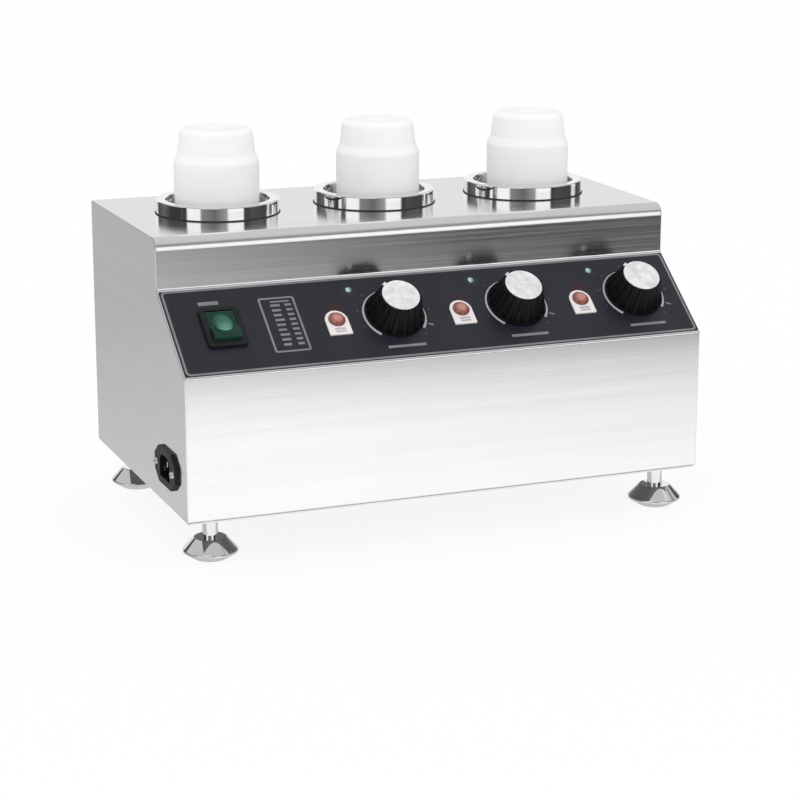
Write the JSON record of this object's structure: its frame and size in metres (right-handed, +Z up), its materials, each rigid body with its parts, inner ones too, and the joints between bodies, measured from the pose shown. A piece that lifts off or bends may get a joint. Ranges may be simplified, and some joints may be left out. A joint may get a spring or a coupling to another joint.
{
  "type": "sauce warmer",
  "caption": "Countertop warmer with heated wells that hold upturned sauce bottles, thermostat knobs on a sloping panel and levelling feet.",
  "frame": {"origin": "on the floor, under the middle of the case", "axes": "+X to the right seen from the controls, +Y to the back, +Z up"},
  "size_m": [0.4042, 0.24, 0.286],
  "materials": {
    "case_steel": "brushed along its length",
    "side_steel": "brushed",
    "base_steel": "plain mill finish",
    "collar_chrome": "mirror polished",
    "foot_chrome": "polished",
    "cup_steel": "drawn, satin",
    "heater_steel": "dull",
    "zinc": "zinc plated",
    "bottle_plastic": "milky, soft gloss",
    "bottle_cap_plastic": "satin",
    "overlay_film": "satin film",
    "switch_black": "fine texture",
    "rocker_green": "tinted, smooth",
    "lamp_white": "smooth",
    "lens_red": "tinted, smooth",
    "led_clear": "clear, smooth",
    "thermostat_case": "moulded",
    "shaft_steel": "turned",
    "knob_black": "satin gloss",
    "knob_cap_silver": "spun, bright",
    "bulb_copper": "drawn copper",
    "inlet_black": "moulded",
    "pin_nickel": "nickel plated",
    "block_nylon": "moulded",
    "lead_sleeve": "smooth sleeve"
  },
  "bodies": {
    "case": {"bottom_plate": "base_steel", "case_wrap": "case_steel", "clamp_screws": "zinc", "control_overlay": "overlay_film", "earth_stud": "zinc", "foot_nuts": "zinc", "heater_band_1": "heater_steel", "heater_band_2": "heater_steel", "heater_band_3": "heater_steel", "heater_leads": "lead_sleeve", "inlet_housing": "inlet_black", "inlet_pins": "pin_nickel", "lamp_lens_1": "lens_red", "lamp_lens_2": "lens_red", "lamp_lens_3": "lens_red", "lamp_plate_1": "lamp_white", "lamp_plate_2": "lamp_white", "lamp_plate_3": "lamp_white", "m3_screws": "zinc", "m4_screws": "zinc", "mains_leads": "lead_sleeve", "power_led_1": "led_clear", "power_led_2": "led_clear", "power_led_3": "led_clear", "sensing_bulb_1": "bulb_copper", "sensing_bulb_2": "bulb_copper", "sensing_bulb_3": "bulb_copper", "side_panel_left": "side_steel", "side_panel_right": "side_steel", "switch_housing": "switch_black", "terminal_block": "block_nylon", "thermostat_1": "thermostat_case", "thermostat_2": "thermostat_case", "thermostat_3": "thermostat_case", "well_collar_1": "collar_chrome", "well_collar_2": "collar_chrome", "well_collar_3": "collar_chrome", "well_cup_1": "cup_steel", "well_cup_2": "cup_steel", "well_cup_3": "cup_steel"},
    "rocker": {"rocker": "rocker_green"},
    "knob_1": {"knob_1": "knob_black", "knob_cap_1": "knob_cap_silver", "thermostat_shaft_1": "shaft_steel"},
    "bottle_1": {"bottle_1": "bottle_plastic", "bottle_cap_1": "bottle_cap_plastic"},
    "knob_2": {"knob_2": "knob_black", "knob_cap_2": "knob_cap_silver", "thermostat_shaft_2": "shaft_steel"},
    "bottle_2": {"bottle_2": "bottle_plastic", "bottle_cap_2": "bottle_cap_plastic"},
    "knob_3": {"knob_3": "knob_black", "knob_cap_3": "knob_cap_silver", "thermostat_shaft_3": "shaft_steel"},
    "bottle_3": {"bottle_3": "bottle_plastic", "bottle_cap_3": "bottle_cap_plastic"},
    "foot_1": {"foot_1": "foot_chrome"},
    "foot_2": {"foot_2": "foot_chrome"},
    "foot_3": {"foot_3": "foot_chrome"},
    "foot_4": {"foot_4": "foot_chrome"}
  },
  "joints": [
    {"name": "rocker_tip", "type": "hinge", "parent": "case", "child": "rocker", "pos_m": [-0.1615, -0.08736, 0.16348], "axis": [1, 0, 0], "range_deg": [0, 24]},
    {"name": "knob_turn_1", "type": "hinge", "parent": "case", "child": "knob_1", "pos_m": [-0.0321, -0.08692, 0.16256], "axis": [0, -0.602, 0.7985], "range_deg": [-188, 112]},
    {"name": "knob_turn_2", "type": "hinge", "parent": "case", "child": "knob_2", "pos_m": [0.0642, -0.08692, 0.16256], "axis": [0, -0.602, 0.7985], "range_deg": [-188, 112]},
    {"name": "knob_turn_3", "type": "hinge", "parent": "case", "child": "knob_3", "pos_m": [0.1605, -0.08692, 0.16256], "axis": [0, -0.602, 0.7985], "range_deg": [-188, 112]},
    {"name": "bottle_lift_1", "type": "slide", "parent": "case", "child": "bottle_1", "axis": [0, 0, 1], "range_m": [0, 0.24]},
    {"name": "bottle_lift_2", "type": "slide", "parent": "case", "child": "bottle_2", "axis": [0, 0, 1], "range_m": [0, 0.24]},
    {"name": "bottle_lift_3", "type": "slide", "parent": "case", "child": "bottle_3", "axis": [0, 0, 1], "range_m": [0, 0.24]},
    {"name": "foot_level_1", "type": "slide", "parent": "case", "child": "foot_1", "axis": [0, 0, -1], "range_m": [0, 0.008]},
    {"name": "foot_level_2", "type": "slide", "parent": "case", "child": "foot_2", "axis": [0, 0, -1], "range_m": [0, 0.008]},
    {"name": "foot_level_3", "type": "slide", "parent": "case", "child": "foot_3", "axis": [0, 0, -1], "range_m": [0, 0.008]},
    {"name": "foot_level_4", "type": "slide", "parent": "case", "child": "foot_4", "axis": [0, 0, -1], "range_m": [0, 0.008]}
  ]
}
